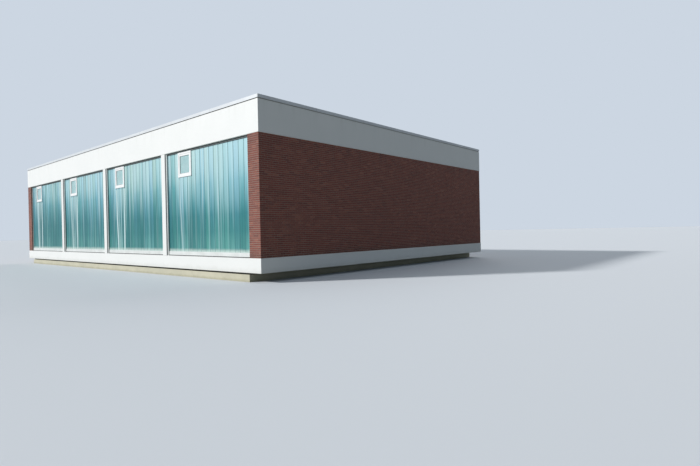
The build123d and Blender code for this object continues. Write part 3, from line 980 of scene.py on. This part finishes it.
def glass_seals():
    """Sealant beads over the upright joints between planks, short under the windows. Each row starts
    at the left of its bay as seen from outside, so the windows are near the end of the back's rows."""
    last_seal = planks_in_bay - 2
    under_window = (window_first_plank, window_first_plank + window_plank_count - 2)
    for side, turn, bays in (("front", front_turn, front_bays), ("back", back_turn, back_bays)):
        beads = []
        for bay in range(bays):
            start = glass_start + bay * bay_pitch + plank_pitch - plank_joint / 2
            place = (start, glass_face, 0.0)
            short_from, short_to = under_window
            if side == "back":
                place = (start + last_seal * plank_pitch, -glass_face, 0.0)
                short_from, short_to = last_seal - short_to, last_seal - short_from
            values = {
                "Pitch": plank_pitch,
                "Width": seal_width,
                "Depth": seal_depth,
                "Foot": glass_foot,
                "Head": glass_head,
                "Short Head": window_foot,
                "Sides": seal_sides,
                "Count": planks_in_bay - 1,
                "Short From": short_from,
                "Short To": short_to,
                "Place": place,
                "Turn": turn,
                "Material": finishes["joint_sealant"],
            }
            beads.append(strip_tree.grow(values))
        add_piece(f"{side}_glass_seals", beads)


def plain_mesh(name, points, faces, material):
    """A mesh of points and faces in one material."""
    mesh = bpy.data.meshes.new(name)
    mesh.from_pydata(points, [], faces)
    mesh.materials.append(material)
    return mesh


def prism_mesh(name, section, start, end, material):
    """A closed bar along X with the given (y, z) corners in its section."""
    count = len(section)
    points = [(x, y, z) for x in (start, end) for y, z in section]
    faces = [(step, (step + 1) % count, count + (step + 1) % count, count + step) for step in range(count)]
    faces += [range(count), range(count, 2 * count)]
    mesh = plain_mesh(name, points, faces, material)
    shell = bmesh.new()
    shell.from_mesh(mesh)
    bmesh.ops.recalc_face_normals(shell, faces=shell.faces)
    shell.to_mesh(mesh)
    shell.free()
    return mesh


def ring_mesh(name, middle, outer, inner, back, front, material):
    """A square ring round a point in the XZ plane, from its open back to its front along Y."""
    signs = ((-1, -1), (1, -1), (1, 1), (-1, 1))
    corners = [(middle[0] + x * half, middle[1] + z * half) for half in (outer, inner) for x, z in signs]
    points = [(x, y, z) for y in (back, front) for x, z in corners]
    # The points come in fours: outer and inner corners at the back, then outer and inner at the front
    outer_back, inner_back, outer_front, inner_front = range(0, len(points), len(signs))
    front_side = (outer_front, inner_front)
    outer_side = (outer_back, outer_front)
    inner_side = (inner_front, inner_back)
    faces = []
    for step in range(len(signs)):
        after = (step + 1) % len(signs)
        for first, second in (front_side, outer_side, inner_side):
            faces.append((first + step, first + after, second + after, second + step))
    return plain_mesh(name, points, faces, material)


def shaded_bedding_strips():
    """Dark mastic in the gap under the bottom rails, hollowed along its face; its dark colour is also
    painted shade in the gap.
    """
    low, high = sill_box
    bay_width = first_bay[1].x - first_bay[0].x + 2 * plank_end_gap
    # Corners of the strip, each a depth behind the rail's face and a height above the band
    outline = [
        (0.5 * bedding_depth, 0.0),
        (bedding_depth, 0.5 * bedding_height),
        (0.5 * bedding_depth, bedding_height),
        (2.0 * bedding_depth, bedding_height),
        (2.0 * bedding_depth, 0.0),
    ]
    strips = []
    for side, bays in ((-1, front_bays), (1, back_bays)):
        section = [(side * (high.y - depth), low.z + height) for depth, height in outline]
        for bay in range(bays):
            start = low.x + bay * bay_pitch
            end = start + bay_width
            strips.append(prism_mesh("bedding", section, start, end, finishes["glazing_rubber"]))
    add_piece("sill_bedding_shade", strips)


def window_gaskets():
    """Rubber strips that hold the panes in their sashes."""
    outer = window_sight_width / 2
    inner = outer - gasket_width
    rings = []
    for side, bays in ((-1, front_bays), (1, back_bays)):
        back = side * pane_box[1].y
        front = side * (pane_box[1].y + gasket_depth)
        for bay in range(bays):
            middle = (glass_start + bay * bay_pitch + window_offset, pane_middle)
            ring = ring_mesh("gasket", middle, outer, inner, back, front, finishes["glazing_rubber"])
            if side > 0:
                ring.flip_normals()
            rings.append(ring)
    add_piece("window_gaskets", rings)


# Roofing


def felt_laps():
    """Double-thickness laps between the felt sheets, from the middle of the roof to both edges."""
    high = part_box("roof_covering")[1]
    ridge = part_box("roof_deck")[1].z + roof_rise
    reach = high.y - upstand_thickness
    edge = ridge - (roof_rise - roof_edge_rise) * reach / high.y
    half = felt_lap_width / 2
    profile = [
        (-half, 0.0),
        (-half + felt_thickness, felt_thickness),
        (half - felt_thickness, felt_thickness),
        (half, 0.0),
    ]
    faces = [(0, 1, 5, 4), (1, 2, 6, 5), (2, 3, 7, 6), (4, 5, 6, 7)]
    count = int((high.x - 2 * upstand_thickness) // felt_sheet_width)
    laps = []
    for number in range(-count, count + 1):
        middle = number * felt_sheet_width
        for side in (-1, 1):
            ends = ((0.0, ridge), (side * reach, edge))
            points = [(middle + x, y, level + up) for y, level in ends for x, up in profile]
            lap = plain_mesh("lap", points, faces, finishes["roof_felt"])
            if side > 0:
                lap.flip_normals()
            laps.append(lap)
    add_piece("roof_felt_laps", laps)


# Camera, floor and light


def camera_axes():
    """Right, up and forward of the camera, with its small roll."""
    yaw, pitch, roll = (math.radians(angle) for angle in (camera_yaw, camera_pitch, camera_roll))
    forward = Vector(
        (-math.sin(yaw) * math.cos(pitch), math.cos(yaw) * math.cos(pitch), math.sin(pitch))
    )
    level_right = Vector((math.cos(yaw), math.sin(yaw), 0.0))
    level_up = level_right.cross(forward)
    right = math.cos(roll) * level_right + math.sin(roll) * level_up
    up = -math.sin(roll) * level_right + math.cos(roll) * level_up
    return right, up, forward


def add_camera():
    """A camera that stands where the photograph was taken."""
    right, up, forward = camera_axes()
    data = bpy.data.cameras.new("photo_view")
    data.lens = camera_lens
    data.sensor_width = camera_sensor
    data.clip_end = 2 * floor_size
    camera = add_to_scene("photo_view", data)
    turn = Matrix((right, up, -forward)).transposed()
    camera.matrix_world = Matrix.Translation(camera_place) @ turn.to_4x4()
    bpy.context.scene.camera = camera


def shown_ray(graph):
    """1 for rays from the camera, or seen in a reflection or through glass, and 0 for light."""
    path = graph.node("ShaderNodeLightPath").outputs
    seen = graph.math("MAXIMUM", path["Is Camera Ray"], path["Is Glossy Ray"])
    return graph.math("MAXIMUM", seen, path["Is Transmission Ray"])


def add_floor():
    """A plain floor that shows pale but sends back only part of the light."""
    finish = Finish("studio_floor", {"Roughness": 0.9})
    finish.set("Base Color", finish.between(shown_ray(finish), floor_lit_colour, floor_seen_colour))
    half = floor_size / 2
    corners = [(x * half, y * half, 0) for x, y in ((-1, -1), (1, -1), (1, 1), (-1, 1))]
    mesh = plain_mesh("studio_floor", corners, [(0, 1, 2, 3)], finish.material)
    floor = add_to_scene("studio_floor", mesh)


def add_sun(name, towards, strength, softness):
    """A distant lamp that stands in the given direction."""
    data = bpy.data.lights.new(name, "SUN")
    data.energy = strength
    data.angle = math.radians(softness)
    lamp = add_to_scene(name, data)
    lamp.rotation_euler = towards.to_track_quat("Z", "Y").to_euler()


def add_lamps():
    """A soft lamp from the front and left, and a weak, very soft one from behind."""
    azimuth, height = math.radians(sun_from_front), math.radians(sun_height)
    sun_towards = Vector(
        (-math.sin(azimuth) * math.cos(height), -math.cos(azimuth) * math.cos(height), math.sin(height))
    )
    add_sun("key_light", sun_towards, sun_strength, sun_softness)
    add_sun("back_light", back_lamp_towards, back_lamp_strength, back_lamp_softness)


def add_sky():
    """Even pale light from all round, behind a plain backdrop."""
    world = bpy.data.worlds.new("studio")
    world.use_nodes = True
    bpy.context.scene.world = world
    graph = Graph(world.node_tree)
    graph.tree.nodes.clear()
    light = graph.out("ShaderNodeBackground", {"Color": sky_colour, "Strength": sky_strength})
    backdrop = graph.out("ShaderNodeBackground", {"Color": paint(*backdrop_colour), "Strength": 1.0})
    chosen = graph.out("ShaderNodeMixShader", {0: shown_ray(graph), 1: light, 2: backdrop})
    graph.node("ShaderNodeOutputWorld", {"Surface": chosen})


add_camera()
dress_nodes()
brick_pieces()
glass_seals()
window_gaskets()
shaded_bedding_strips()
felt_laps()
add_floor()
add_lamps()
add_sky()
bpy.context.scene.view_settings.view_transform = "Standard"
